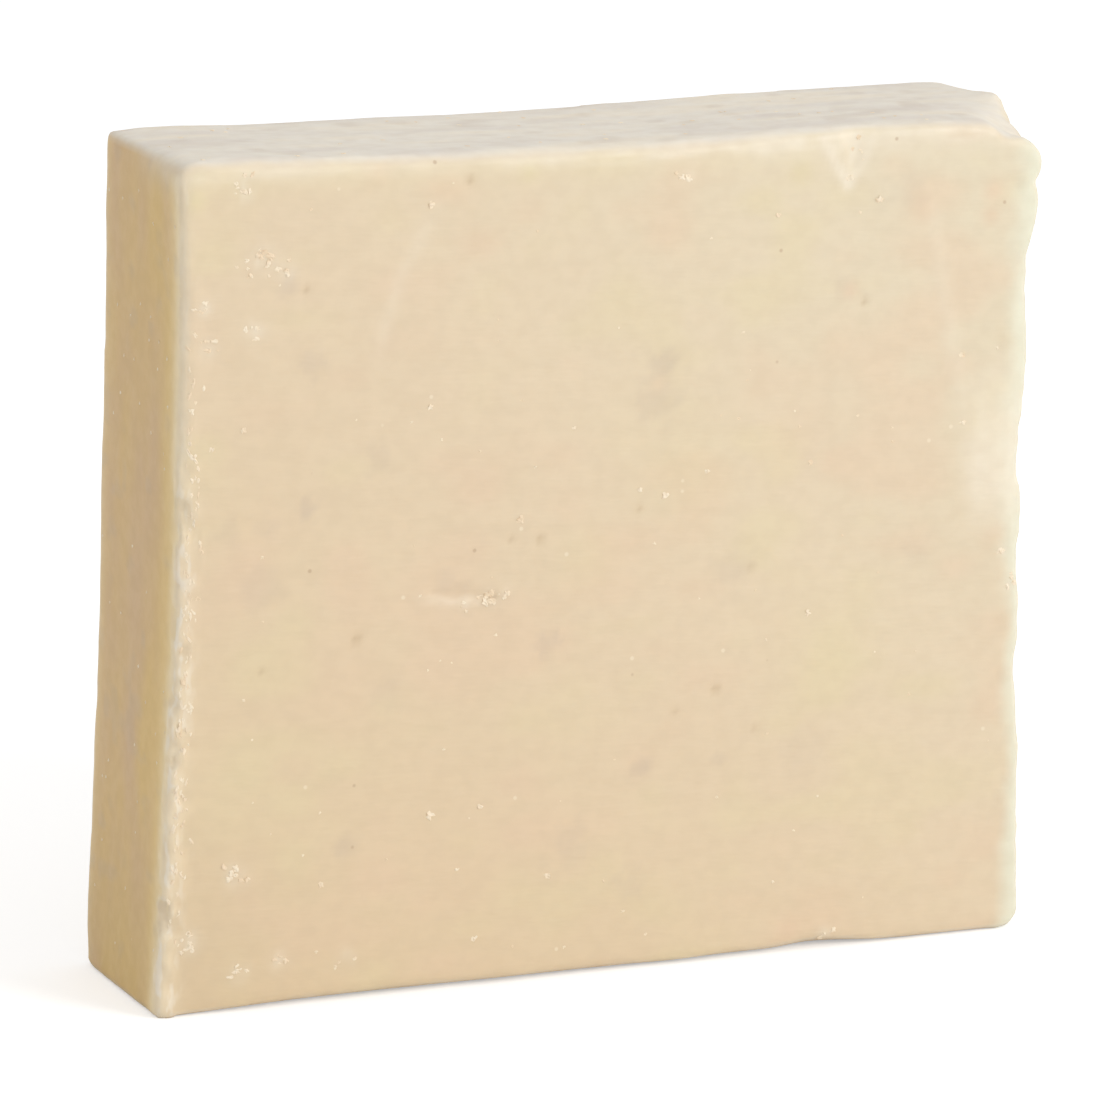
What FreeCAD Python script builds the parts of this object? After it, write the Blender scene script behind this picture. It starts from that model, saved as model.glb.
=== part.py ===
"""A bar of handmade soap: one slab cut from a loaf, standing on its long lower edge.

Frame: millimetres, +Z up. The wide wire-cut face looks towards -Y, the width runs along X,
and the origin is the middle of the base. The left, top and bottom were mould walls, the
right side is the loaf's own uneven top, and the front and back were cut with a wire.

The slab is one skin over upright outlines that stand one behind the other. An outline has
four gently wavy sides and four corners, and it shrinks near the front and back faces to give
the worn edges their round. A small scar and a chip are then cut out of that skin.
"""

import FreeCAD, Part
import math
import os

# Overall size
bar_width = 89.4
bar_height = 79.9
bar_thickness = 19.5

# Corner rounds, seen from the front. The top left one tightens from the front to the back.
top_left_round_front = 2.0
top_left_round_back = 0.5
bottom_left_round = 0.5
bottom_right_round = 2.0

# Worn edges: how deep the front and back edges' rounds reach into the thickness
left_edge_depth = 0.9
top_edge_depth = 1.4
right_edge_depth = 1.0
bottom_edge_depth = 0.6
bottom_edge_round = 0.5
back_edge_round = 0.5

# The base leaves the table near the front face, by the lifts given below
lift_depth = 4.2
# The skin is drawn this much too low and then planed, so that the base is one true plane
planing = 0.04

# The torn lip at the front of the top right corner
lip_thickness = 1.1
lip_root_depth = 2.2
shoulder_depth = 4.2

# Sides of the outline. A row is (share of the way along, how far the front, middle and back
# of the side lie inside the overall size). Left and right run upwards, top and bottom run to
# the right.
left_side = [
    (0.00, 0.05, 0.00, 0.05),
    (0.13, 0.55, 0.50, 0.45),
    (0.25, 0.90, 0.90, 0.85),
    (0.37, 1.30, 1.25, 1.15),
    (0.49, 1.70, 1.50, 1.30),
    (0.62, 1.75, 1.60, 1.40),
    (0.78, 1.90, 1.70, 1.50),
    (0.90, 1.90, 1.65, 1.50),
    (1.00, 1.60, 1.55, 1.50),
]
right_side = [
    (0.00, 0.30, 0.55, 0.85),
    (0.09, 0.55, 0.35, 0.65),
    (0.18, 0.80, 0.50, 0.45),
    (0.27, 1.10, 0.80, 0.60),
    (0.34, 1.55, 0.95, 0.85),
    (0.42, 1.40, 0.70, 1.00),
    (0.50, 1.85, 0.85, 0.85),
    (0.55, 1.60, 1.20, 0.70),
    (0.62, 2.35, 1.55, 0.80),
    (0.70, 1.75, 1.25, 1.05),
    (0.78, 1.70, 0.85, 0.95),
    (0.87, 2.30, 1.00, 0.65),
    (0.91, 1.95, 0.85, 0.50),
    (0.96, 1.15, 0.65, 0.45),
    (1.00, 1.50, 0.60, 0.45),
]
top_side = [
    (0.00, 0.90, 0.90, 0.95),
    (0.06, 0.80, 0.80, 0.80),
    (0.15, 1.00, 1.00, 1.05),
    (0.26, 1.20, 1.05, 0.95),
    (0.36, 1.30, 1.10, 0.90),
    (0.49, 1.30, 1.15, 0.85),
    (0.61, 1.20, 0.95, 0.60),
    (0.74, 0.90, 0.60, 0.30),
    (0.88, 0.60, 0.35, 0.15),
    (1.00, 0.80, 0.20, 0.05),
]
# The bottom is flat. Its rows give how far the front edge lifts off the table.
bottom_side = [
    (0.00, 0.00),
    (0.05, 0.15),
    (0.12, 0.45),
    (0.20, 0.60),
    (0.40, 0.50),
    (0.55, 0.45),
    (0.61, 0.38),
    (0.67, 0.55),
    (0.73, 0.65),
    (0.76, 1.05),
    (0.80, 0.80),
    (0.84, 0.35),
    (0.91, 0.15),
    (1.00, 0.00),
]

# How far the rounds of the front edges reach across the front face, as (share, reach)
left_reach = [(0.0, 0.9), (0.15, 1.0), (0.3, 0.8), (0.45, 1.05), (0.6, 0.75), (0.8, 0.85), (1.0, 0.9)]
top_reach = [(0.0, 1.4), (0.4, 1.2), (0.7, 1.15), (0.8, 0.75), (0.9, 0.55), (1.0, 0.75)]
right_reach = [(0.0, 0.9), (0.35, 1.1), (0.48, 2.2), (0.6, 3.2), (0.75, 2.6), (0.84, 1.3), (1.0, 0.8)]

# The top right corner, from the right side round to the top side. Each row is a depth's run
# of points, as (inside the overall width, under the overall height).
lip_corner = [
    (1.6, 6.8), (1.1, 5.4), (1.1, 4.4), (1.8, 3.4), (2.9, 2.5), (4.0, 2.3), (4.8, 2.3), (5.8, 1.7), (7.1, 0.9)
]
root_corner = [
    (1.6, 6.8), (1.5, 5.4), (1.6, 4.3), (2.1, 3.6), (2.9, 3.0), (3.8, 2.5), (4.7, 2.0), (5.8, 1.4), (7.1, 0.9)
]
shoulder_corner = [
    (0.9, 6.6), (0.8, 5.2), (0.8, 4.1), (1.2, 3.2), (2.1, 2.6), (3.2, 2.1), (4.3, 1.6), (5.5, 1.1), (6.9, 0.8)
]
slope_corner = [
    (0.6, 6.2), (0.4, 4.9), (0.3, 3.6), (0.3, 2.4), (0.8, 1.6), (1.8, 1.1), (3.1, 0.8), (4.6, 0.6), (6.2, 0.5)
]
knob_corner = [
    (0.4, 5.8), (0.1, 4.4), (0.0, 3.0), (0.0, 1.6), (0.2, 0.8), (0.9, 0.3), (2.2, 0.2), (4.0, 0.2), (5.8, 0.2)
]
back_corner = [
    (0.5, 5.8), (0.4, 4.4), (0.5, 3.0), (0.7, 1.9), (1.1, 1.0), (1.9, 0.4), (3.1, 0.1), (4.5, 0.0), (5.9, 0.0)
]

# Depths of the outlines that carry the corner's shape, the middle ones as shares
slope_share = 0.40
knob_share = 0.65

# Scars and chips on the front face, placed from the bar's left side and base
scar_left = 28.4
scar_height = 37.7
scar_depth = 0.5
scar_deepest = (2.0, -0.6)
scar_run = [
    (-5.4, 1.1),
    (-3.0, -0.1),
    (0.0, -0.8),
    (2.5, -1.0),
    (4.0, -0.9),
    (5.7, -0.3),
    (3.3, 0.4),
    (0.3, 0.7),
    (-2.7, 1.0),
]
chip_left = 68.2
chip_half_width = 2.6
chip_length = 5.2
chip_depth = 0.55
chip_below_top = 1.5
# How far a cutting shape stands out of the face that it cuts
overshoot = 0.1

front_y = -bar_thickness / 2
left_x = -bar_width / 2
right_x = bar_width / 2


def blend(rows, place, column=1):
    """The value of a column of rows at a place, in straight steps between the rows."""
    for low, high in zip(rows, rows[1:]):
        if place <= high[0]:
            part = (place - low[0]) / (high[0] - low[0])
            return low[column] + part * (high[column] - low[column])
    return rows[-1][column]


def round_in(reach, round_depth, depth):
    """How far a worn edge's elliptic round moves the side inwards, this deep into the bar."""
    if depth >= round_depth:
        return 0.0
    left = 1.0 - depth / round_depth
    return reach * (1.0 - math.sqrt(1.0 - left * left))


def inwards(row, depth):
    """How far inside the overall size a row of a side lies at a depth."""
    share = depth / bar_thickness
    levels = [(0.0, row[1]), (0.5, row[2]), (1.0, row[3])]
    return blend(levels, share)


def edge_inset(reach_rows, share, round_depth, depth):
    """The inset of a side at a depth, from the rounds of its front and back edges."""
    front = round_in(blend(reach_rows, share), round_depth, depth)
    back = round_in(back_edge_round, back_edge_round, bar_thickness - depth)
    return front + back


def base_height(share, depth):
    """The height of the outline's lower side: the lifted front edge, then the flat base."""
    lift = blend(bottom_side, share) * max(0.0, 1.0 - depth / lift_depth) ** 2
    front = round_in(bottom_edge_round, bottom_edge_depth, depth)
    back = round_in(back_edge_round, back_edge_round, bar_thickness - depth)
    return lift + front + back - planing


def corner_run(depth):
    """The top right corner's points at a depth, before the edge rounds."""
    stations = [
        (0.0, lip_corner),
        (lip_thickness, lip_corner),
        (lip_root_depth, root_corner),
        (shoulder_depth, shoulder_corner),
        (slope_share * bar_thickness, slope_corner),
        (knob_share * bar_thickness, knob_corner),
        (bar_thickness, back_corner),
    ]
    points = []
    for n in range(len(lip_corner)):
        across = blend([(d, run[n][0]) for d, run in stations], depth)
        down = blend([(d, run[n][1]) for d, run in stations], depth)
        points.append((right_x - across, bar_height - down))
    return points


def curve(points, y):
    """One smooth edge through (x, z) points at a depth's y."""
    line = Part.BSplineCurve()
    line.interpolate([FreeCAD.Vector(x, y, z) for x, z in points])
    return line.toShape()


def corner_arc(start, end, upright_first, y):
    """A corner's arc from one side's end to the next side's start."""
    centre = (end[0], start[1]) if upright_first else (start[0], end[1])
    tip = (start[0], end[1]) if upright_first else (end[0], start[1])
    half = math.sqrt(0.5)
    middle = (centre[0] + half * (tip[0] - centre[0]), centre[1] + half * (tip[1] - centre[1]))
    ends = [FreeCAD.Vector(p[0], y, p[1]) for p in (start, middle, end)]
    return Part.Arc(*ends).toShape()


def outline(depth):
    """The closed outline at a depth behind the front face."""
    y = front_y + depth
    left = []
    for row in left_side:
        inset = edge_inset(left_reach, row[0], left_edge_depth, depth)
        left.append(left_x + inwards(row, depth) + inset)
    right = []
    for row in right_side:
        inset = edge_inset(right_reach, row[0], right_edge_depth, depth)
        right.append(right_x - inwards(row, depth) - inset)
    top = []
    for row in top_side:
        inset = edge_inset(top_reach, row[0], top_edge_depth, depth)
        top.append(bar_height - inwards(row, depth) - inset)
    bottom = [base_height(row[0], depth) for row in bottom_side]

    corner = []
    run = corner_run(depth)
    for n, (x, z) in enumerate(run):
        share = n / (len(run) - 1)
        side_inset = edge_inset(right_reach, 1.0, right_edge_depth, depth) * (1 - share)
        top_inset = edge_inset(top_reach, 1.0, top_edge_depth, depth) * share
        corner.append((x - side_inset, z - top_inset))

    depth_share = depth / bar_thickness
    top_left_round = top_left_round_front + depth_share * (top_left_round_back - top_left_round_front)
    left_low = bottom[0] + bottom_left_round
    left_high = top[0] - top_left_round
    left_points = [(x, left_low + row[0] * (left_high - left_low)) for x, row in zip(left, left_side)]
    right_low = bottom[-1] + bottom_right_round
    right_high = corner[0][1]
    right_points = [(x, right_low + row[0] * (right_high - right_low)) for x, row in zip(right, right_side)]
    right_points[-1] = corner[0]
    top_low = left[-1] + top_left_round
    top_high = corner[-1][0]
    top_points = [(top_low + row[0] * (top_high - top_low), z) for z, row in zip(top, top_side)]
    top_points[-1] = corner[-1]
    bottom_low = left[0] + bottom_left_round
    bottom_high = right[0] - bottom_right_round
    bottom_points = [
        (bottom_low + row[0] * (bottom_high - bottom_low), z) for z, row in zip(bottom, bottom_side)
    ]

    edges = [
        curve(bottom_points, y),
        corner_arc(bottom_points[-1], right_points[0], False, y),
        curve(right_points, y),
        curve(corner, y),
        curve(top_points[::-1], y),
        corner_arc(top_points[0], left_points[-1], False, y),
        curve(left_points[::-1], y),
        corner_arc(left_points[0], bottom_points[0], True, y),
    ]
    return Part.Wire(edges)


def outline_depths():
    """Depths of the outlines: close together at the front round, the lip and the back round."""
    front = [0.0, 0.12, 0.4, left_edge_depth, top_edge_depth, lip_root_depth, shoulder_depth]
    middle = [slope_share * bar_thickness, knob_share * bar_thickness]
    back = [bar_thickness - back_edge_round * part for part in (1.0, 0.35, 0.0)]
    return front + middle + back


def slab():
    """The skin over all outlines, planed to a flat base."""
    wires = [outline(depth) for depth in outline_depths()]
    skin = Part.makeLoft(wires, True, True)
    plane = Part.makeBox(2 * bar_width, 2 * bar_thickness, bar_height)
    plane.translate(FreeCAD.Vector(-bar_width, -bar_thickness, -bar_height))
    return skin.cut(plane)


def pyramid(base, apex):
    """A solid with a flat polygon base and a point."""
    corners = [FreeCAD.Vector(*p) for p in base]
    tip = FreeCAD.Vector(*apex)
    faces = [Part.Face(Part.makePolygon(corners + corners[:1]))]
    for a, b in zip(corners, corners[1:] + corners[:1]):
        faces.append(Part.Face(Part.makePolygon([a, b, tip, a])))
    solid = Part.Solid(Part.Shell(faces))
    if solid.Volume < 0:
        solid.reverse()
    return solid


def scar():
    """A shallow crescent pressed into the front face, deepest at the right of its lower lip."""
    x = left_x + scar_left
    base = [(x + across, front_y - overshoot, scar_height + up) for across, up in scar_run]
    across, up = scar_deepest
    return pyramid(base, (x + across, front_y + scar_depth, scar_height + up))


def top_chip():
    """A three-cornered chip in the top front edge, narrowing downwards."""
    y = front_y - overshoot
    middle = left_x + chip_left
    shoulder = bar_height - chip_below_top
    base = [
        (middle - chip_half_width, y, bar_height + overshoot),
        (middle + 2 * chip_half_width, y, bar_height + overshoot),
        (middle, y, shoulder - chip_length),
    ]
    return pyramid(base, (middle, front_y + chip_depth, shoulder))


def soap_bar():
    """The finished bar."""
    bar = slab()
    for cutter in (scar(), top_chip()):
        bar = bar.cut(cutter)
    return bar


os.makedirs("parts", exist_ok=True)
bar = soap_bar()
bar.exportStep("parts/soap_bar.step")
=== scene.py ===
"""The looks of a hand-cut bar of soap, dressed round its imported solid.

The solid's own mesh is refilled with a fine, even grid. The grid takes the marks that making
and keeping have left on the bar: wire drag, crumbled edges, a scratch, pinholes and flakes.
Lengths are in metres. Places and sizes on the bar are in millimetres, which MM turns into metres.
"""

import bmesh
import bpy
import itertools
import math
import numpy as np
from mathutils import Matrix, Vector, noise


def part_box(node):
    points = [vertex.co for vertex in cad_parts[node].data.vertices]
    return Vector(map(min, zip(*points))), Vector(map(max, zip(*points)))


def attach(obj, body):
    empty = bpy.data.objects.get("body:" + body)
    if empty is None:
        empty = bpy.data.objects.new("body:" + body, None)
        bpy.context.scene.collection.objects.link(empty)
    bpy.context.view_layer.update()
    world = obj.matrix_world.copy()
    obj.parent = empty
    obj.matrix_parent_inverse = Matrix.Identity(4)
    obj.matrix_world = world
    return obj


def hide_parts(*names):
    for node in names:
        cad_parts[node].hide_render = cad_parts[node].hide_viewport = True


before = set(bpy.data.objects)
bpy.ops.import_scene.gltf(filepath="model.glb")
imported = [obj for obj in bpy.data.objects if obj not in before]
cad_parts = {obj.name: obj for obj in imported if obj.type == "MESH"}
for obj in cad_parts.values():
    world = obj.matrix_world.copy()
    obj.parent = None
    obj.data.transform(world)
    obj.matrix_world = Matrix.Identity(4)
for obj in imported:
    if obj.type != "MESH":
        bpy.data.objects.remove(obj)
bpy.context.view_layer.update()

MM = 0.001
SEED = 7

# The bar's box
BAR_LOW, BAR_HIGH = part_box("soap_bar")
LEFT_X, FRONT_Y, BASE_Z = np.array(BAR_LOW) / MM
RIGHT_X, BACK_Y, TOP_Z = np.array(BAR_HIGH) / MM

# The fine grid: its step, the distance below which points are one, and how its steps are smoothed away
GRID_STEP = 0.48 * MM
WELD_DISTANCE = 0.001 * MM
SMOOTHING_ROUNDS = 5
PULL_IN = 0.55
PUSH_BACK = -0.50

# How squarely a point faces a way where it starts to belong to that face, and where it fully does
FLAT_FACE = (0.75, 0.95)
ROUNDED_FACE = (0.55, 0.90)
TORN_FACE = (0.45, 0.90)
RIND_FACE = (0.86, 0.985)
# How far a point is from facing any way squarely where it starts to belong to an edge, and where it
# fully does
EDGE_TURN = (0.03, 0.22)

# Unevenness, in layers of (height, lump size, noise shift), with sizes along x, y and z where they differ
ALL_OVER = [(0.08, 9.0, 0.0), (0.035, 3.1, 31.0), (0.02, 1.3, 57.0)]
WIRE_DRAG = [(0.022, (12.0, 20.0, 0.9), 11.0)]
TOP_STREAKS = [(0.035, (11.0, 1.6, 6.0), 23.0)]
LEFT_STREAKS = [(0.05, (5.0, 1.3, 12.0), 29.0)]
TORN_SIDE = [(0.16, 4.2, 5.0), (0.10, 1.4, 9.0)]
TORN_EDGE = [(0.12, (1.1, 1.1, 1.5), 19.0)]
WORN_TOP_EDGE = [(0.08, (2.4, 0.8, 0.8), 83.0)]

# The crumbled left front edge: its middle and radius, how far it swells and how deep its chips go
CRUMBLED_INSET = 0.4
CRUMBLED_RADIUS = 1.5
CRUMBLED_SWELL = 0.24
CHIP_DEPTH = 0.42
CHIPS = [(1.0, (0.8, 0.8, 1.5), 71.0)]
FINE_CHIPS = [(0.5, (0.6, 0.6, 0.9), 43.0)]
# Heights between which the chips come in above the base, and go out again
CHIPS_COME = (2.0, 8.0)
CHIPS_GO = (46.0, 58.0)
# The torn right and worn upper front edges: how deep the wear goes, and where it ends on the front face
TORN_EDGE_DEPTH = 1.6
TORN_EDGE_END = (2.0, 4.5)
TOP_EDGE_DEPTH = 1.5
TOP_EDGE_END = (1.5, 3.2)
# The worn back corner at the lower left. Its rise is below 1, so the wear reaches further up than sideways
WORN_CORNER_DEPTH = 0.4
WORN_CORNER_RADIUS = 1.6
WORN_CORNER_RISE = 0.6
# A torn lump and a dent beside it on the top right edge, as (x, y, z, radius, height)
TORN_LUMPS = [(44.1, 1.5, 79.1, 1.5, 0.6), (43.9, -2.7, 77.8, 1.3, -0.45)]
# The base's share of its wear, and the furthest that wear and swelling go, torn lumps aside
BASE_SHARE = 0.2
DEEPEST = -0.6
HIGHEST = 0.3

# Marks on the front face, as places (x, z)
SCAR = [(-21.7, 38.8), (-19.3, 37.6), (-16.3, 36.9), (-13.8, 36.7), (-12.0, 37.0), (-10.6, 37.5)]
SCRATCH = [(-16.5, 75.7), (-19.6, 71.5), (-21.9, 67.4), (-23.2, 63.5), (-23.8, 59.8)]
RIDGE = [(31.2, 75.0), (32.4, 68.5), (34.4, 58.2), (36.8, 50.0), (37.6, 42.0)]
SCRATCH_DEPTH = 0.04
SCRATCH_HALF_WIDTH = 0.5
RIDGE_HEIGHT = 0.07
RIDGE_HALF_WIDTH = 0.7
SCAR_LIP_HEIGHT = 0.10
SCAR_LIP_HALF_WIDTH = 0.40
# The shares of the scar's way between which its lip rises
SCAR_LIP_START = (0.05, 0.6)
# The pale look of these marks, as (places, strength, half width)
PALE_LINES = [(SCRATCH, 0.22, 0.7), (RIDGE, 0.20, 0.9), (SCAR, 0.22, 0.4)]
# The edges of the three-cornered chip under the top edge, each with how pale it is
CHIP_EDGES = [
    ([(20.3, 78.5), (21.5, 76.3), (23.0, 73.9)], 0.75),
    ([(25.7, 78.4), (24.6, 76.1), (23.3, 74.0)], 0.45),
    ([(22.4, 78.6), (24.2, 78.3), (23.2, 76.0)], 0.50),
]
CHIP_EDGE_HALF_WIDTH = 0.55
# Soft grey-pink mottles, as (x, z, radius, strength)
MOTTLES = [
    (4.7, 58.0, 1.7, 0.80),
    (4.5, 54.6, 2.6, 0.45),
    (12.7, 38.5, 2.2, 0.40),
    (-6.6, 32.4, 1.4, 0.70),
    (3.9, 19.5, 1.3, 0.75),
    (11.6, 19.8, 0.9, 0.45),
    (-26.3, 14.6, 1.2, 0.60),
    (-30.6, 46.6, 1.1, 0.80),
    (-34.6, 45.4, 1.6, 0.35),
    (-30.1, 60.2, 1.3, 0.55),
    (-32.7, 67.5, 1.0, 0.70),
    (-23.6, 51.2, 1.5, 0.40),
    (23.2, 64.3, 1.3, 0.40),
    (-22.2, 29.0, 2.0, 0.30),
    (-38.1, 44.9, 1.6, 0.35),
    (-34.7, 39.7, 2.2, 0.40),
    (2.6, 8.2, 1.6, 0.40),
    (-3.5, 12.9, 2.4, 0.40),
    (31.5, 38.2, 1.6, 0.30),
    (-16.6, 38.3, 1.8, 0.40),
    (29.0, 73.0, 2.2, 0.30),
    (20.0, 20.0, 3.0, 0.25),
]
# Pinkish and yellowish patches, as (x, z, radius, strength), yellowish ones below 0
STAINS = [
    (-24.1, 77.6, 1.2, 0.8),
    (-36.1, 44.3, 3.0, 0.6),
    (-5.1, 32.6, 1.6, 0.6),
    (23.6, 63.9, 0.8, 0.9),
    (4.3, 56.1, 0.9, 0.5),
    (3.4, 20.4, 1.8, 0.5),
    (31.0, 71.0, 1.5, 0.7),
    (38.4, 72.6, 1.1, 0.9),
    (38.2, 70.2, 0.9, 0.8),
    (19.3, 2.2, 1.3, 0.9),
    (19.0, 51.0, 5.0, 0.4),
    (-15.0, 12.0, 6.0, 0.4),
    (-27.0, 30.0, 5.0, 0.4),
    (-9.4, 76.8, 1.0, -0.9),
    (-41.6, 78.4, 1.0, -0.9),
    (-41.8, 75.6, 1.1, -1.0),
    (18.2, 75.2, 1.4, -0.7),
    (-3.0, 40.3, 3.0, -0.4),
    (7.0, 48.0, 5.0, -0.4),
    (23.0, 30.0, 6.0, -0.4),
    (-38.0, 20.0, 4.0, -0.4),
]
# Pinholes, as (x, z, radius, strength), and the depth of one of full strength
PINHOLES = [
    (-25.5, 34.2, 0.42, 1.0),
    (11.0, 26.5, 0.42, 1.0),
    (-15.2, 76.2, 0.40, 0.9),
    (25.2, 62.7, 0.40, 0.8),
    (-7.4, 42.3, 0.45, 0.8),
    (2.6, 44.4, 0.38, 0.7),
    (6.8, 24.8, 0.35, 0.6),
    (15.2, 22.5, 0.35, 0.6),
    (-31.0, 67.0, 0.40, 0.8),
    (-10.3, 42.5, 0.35, 0.6),
    (-12.0, 37.2, 0.45, 1.0),
    (-34.8, 32.0, 0.35, 0.6),
    (14.3, 38.0, 0.40, 0.6),
]
PINHOLE_DEPTH = 0.15

# Soap colours, linear
CREAM = np.array((0.786, 0.636, 0.446))
PINK = np.array((0.805, 0.600, 0.420))
YELLOW = np.array((0.780, 0.670, 0.410))
# Lighter cream: for the top right's partly painted light, and for the torn right side
LIGHT = np.array((0.785, 0.712, 0.535))
# Deeper cream: for the lower left's partly painted shade
DEEP = np.array((0.748, 0.564, 0.335))
# The left side's amber: partly its own colour, partly painted warm light on that shaded side
RIND_AND_WARM_LIGHT = np.array((0.800, 0.565, 0.240))
RIND_GREY = np.array((0.745, 0.520, 0.300))
# Painted glow: warm light seeming to come out of the soap near the left side's edges
GLOW = np.array((0.970, 0.750, 0.390))
ASH = np.array((0.860, 0.800, 0.700))
ASH_DARK = np.array((0.810, 0.745, 0.660))
# Pale: for paler streaks, lines, crumb places and chip edges, and for painted highlights
PALE = np.array((0.910, 0.815, 0.660))
# Painted highlight, on the left front edge and on the left side's margins
BRIGHT = np.array((0.980, 0.845, 0.615))
# Painted highlight where the front face's right rim catches the light
RIM_HIGHLIGHT = np.array((0.825, 0.822, 0.658))
MOTTLE = np.array((0.600, 0.480, 0.370))
# Painted shade inside the pinholes
PIT_SHADE = np.array((0.500, 0.340, 0.180))
SPECK_DARK = (0.500, 0.330, 0.190, 1.0)
# Pale flakes within the painted highlight of the left front edge
FLAKE = (0.940, 0.860, 0.730, 1.0)
GRAIN_SHADE = (0.550, 0.420, 0.270, 1.0)
SPECK_PALE = (0.910, 0.790, 0.610, 1.0)
CRUMB_PALE = (0.920, 0.800, 0.620, 1.0)
CRUMB_PINK = (0.850, 0.680, 0.480, 1.0)

# Colour patterns, in layers like the unevenness, with a strength in place of the height
HUE_PATCHES = [(0.6, 8.0, 3.0), (0.4, (4.5, 4.5, 2.8), 13.0)]
DRAG_LINES = [(0.009, (7.0, 7.0, 0.7), 41.0)]
RIND_BANDS = [(1.0, (3.0, 3.5, 12.0), 7.0), (0.3, (2.5, 1.8, 4.5), 27.0)]
ASH_STREAKS = [(1.0, (9.0, 1.7, 4.0), 17.0), (0.5, (3.0, 0.9, 4.0), 47.0)]
ASH_SMUDGES = [(1.0, (2.6, 1.4, 4.0), 67.0)]
MOTTLE_OUTLINES = [(0.5, 1.3, 15.0), (0.35, 0.7, 63.0)]
SIDE_MOTTLES = [(1.0, 2.1, 91.0), (0.3, 0.9, 33.0)]
FLECKS = [(1.0, (0.7, 0.7, 1.2), 51.0)]
# Patches where the painted highlight on rounded edges is stronger
EDGE_HIGHLIGHT_PATCHES = [(0.35, (2.0, 2.0, 2.6), 37.0)]
TOP_EDGE_LINES = [(0.30, (3.5, 0.9, 0.5), 61.0)]
# Waves of a border, in layers of (millimetres, lump size, noise shift)
LEFT_EDGE_WAVES = [(0.25, 2.2, 77.0)]
STRIP_WAVES = [(1.2, 3.0, 21.0)]
RIM_WAVES = [(0.8, 2.0, 87.0)]

# Painted glow and painted highlights on the left side's margins
# The left side's margins: how far each colour reaches in from the front or from the back
GREY_FREE_FRONT = 5.0
GLOW_FRONT = 2.6
GLOW_BACK = 1.9
BRIGHT_FRONT = 1.5
BRIGHT_BACK = 0.9
# The ash on the left side, by the distance from the top, and the depths between which it ends
SIDE_ASH_MIDDLE = 0.5
SIDE_ASH_HALF_WIDTH = 2.6
SIDE_ASH_END = (2.0, 15.0)
# The depths between which the top's ash starts
TOP_ASH_START = (-0.3, 1.0)
# Painted shade in the lower left corner
# The lower left corner: the heights between which it ends, its reach and how much darker it is
CORNER_END = (4.0, 20.0)
CORNER_REACH = 9.0
CORNER_SHADE = 0.05
# The painted highlight along the left front edge: the heights between which its wide, flaky lower
# part ends, its middle, its half width above and how much wider it is below
LOWER_PART_END = (44.0, 54.0)
LEFT_EDGE_INSET = 0.2
LEFT_EDGE_HALF_WIDTH = 0.70
LEFT_EDGE_WIDENING = 0.70
# The painted highlight on the pale upper front edge, by the distance from the top, and its reach to the back
PALE_TOP_MIDDLE = 1.6
PALE_TOP_HALF_WIDTH = 1.3
PALE_TOP_DEPTH = 1.2
# Its brighter runs of painted shine, as (from x, to x, strength), and how softly they end
TOP_RUNS = [(-12.0, -9.0, 0.5), (2.5, 8.5, 0.9), (9.5, 12.0, 0.5), (13.0, 18.5, 1.0), (20.5, 24.5, 0.6)]
RUN_END = 0.6
# The yellowish band under it, by the distance from the top, and where it ends in x
YELLOW_BAND_MIDDLE = 2.4
YELLOW_BAND_HALF_WIDTH = 1.5
YELLOW_BAND_END = (5.0, 25.0)
# Where the right edge is bent back and catches the light: its border in x, its foot and its head
STRIP_X = (35.2, 38.7)
STRIP_FOOT = (38.0, 45.0)
STRIP_HEAD = (48.0, 59.0)
# The painted highlight on the rim of the front face's right side: its reach, where and how much it widens,
# and its end in depth
RIM_REACH = 3.0
RIM_WIDENING = 1.5
RIM_WIDENS = (30.0, 45.0)
RIM_END = (0.6, 2.5)

# Places where crumbs stick to the front face, as (x, z, spread, count, largest crumb)
CRUMB_PLACES = [
    (-35.0, 70.4, 1.5, 15, 0.95),
    (-37.3, 76.6, 1.3, 8, 0.80),
    (-32.9, 68.6, 1.0, 5, 0.70),
    (-40.7, 65.7, 0.7, 6, 0.70),
    (-40.4, 62.1, 0.8, 7, 0.70),
    (-35.8, 63.5, 1.0, 5, 0.60),
    (-37.0, 13.0, 1.1, 8, 1.00),
    (-41.6, 7.0, 1.1, 10, 0.90),
    (-36.5, 3.6, 1.0, 6, 0.80),
    (-32.7, 4.4, 0.9, 5, 0.80),
    (-26.2, 3.9, 0.9, 4, 0.70),
    (-12.0, 37.1, 0.7, 10, 0.95),
    (-10.9, 37.5, 0.4, 4, 0.80),
    (-14.6, 36.9, 0.8, 5, 0.70),
    (40.9, 37.6, 0.5, 4, 0.90),
    (41.9, 34.6, 0.8, 5, 0.90),
    (23.1, 74.6, 0.5, 5, 0.80),
    (24.4, 77.0, 1.0, 5, 0.70),
    (6.3, 75.5, 0.7, 4, 0.80),
    (23.2, 1.4, 0.7, 5, 0.70),
]
# Single pale specks on the front face, as (x, z, size)
SPECKS = [
    (-19.0, 74.1, 0.75),
    (-18.7, 55.5, 0.60),
    (-36.9, 54.5, 0.55),
    (-9.5, 44.3, 0.85),
    (35.7, 57.0, 0.60),
    (36.0, 50.5, 0.60),
    (20.1, 47.6, 0.60),
    (5.2, 45.6, 0.80),
    (2.6, 46.3, 0.50),
    (9.4, 47.6, 0.55),
    (-8.1, 49.2, 0.45),
    (15.9, 71.4, 0.65),
    (26.4, 72.3, 0.85),
    (-17.9, 16.9, 0.85),
    (-12.9, 17.3, 0.60),
    (-28.7, 11.3, 0.55),
    (20.3, 33.2, 0.65),
    (-5.8, 10.0, 0.65),
    (-13.2, 4.6, 0.65),
]
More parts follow.
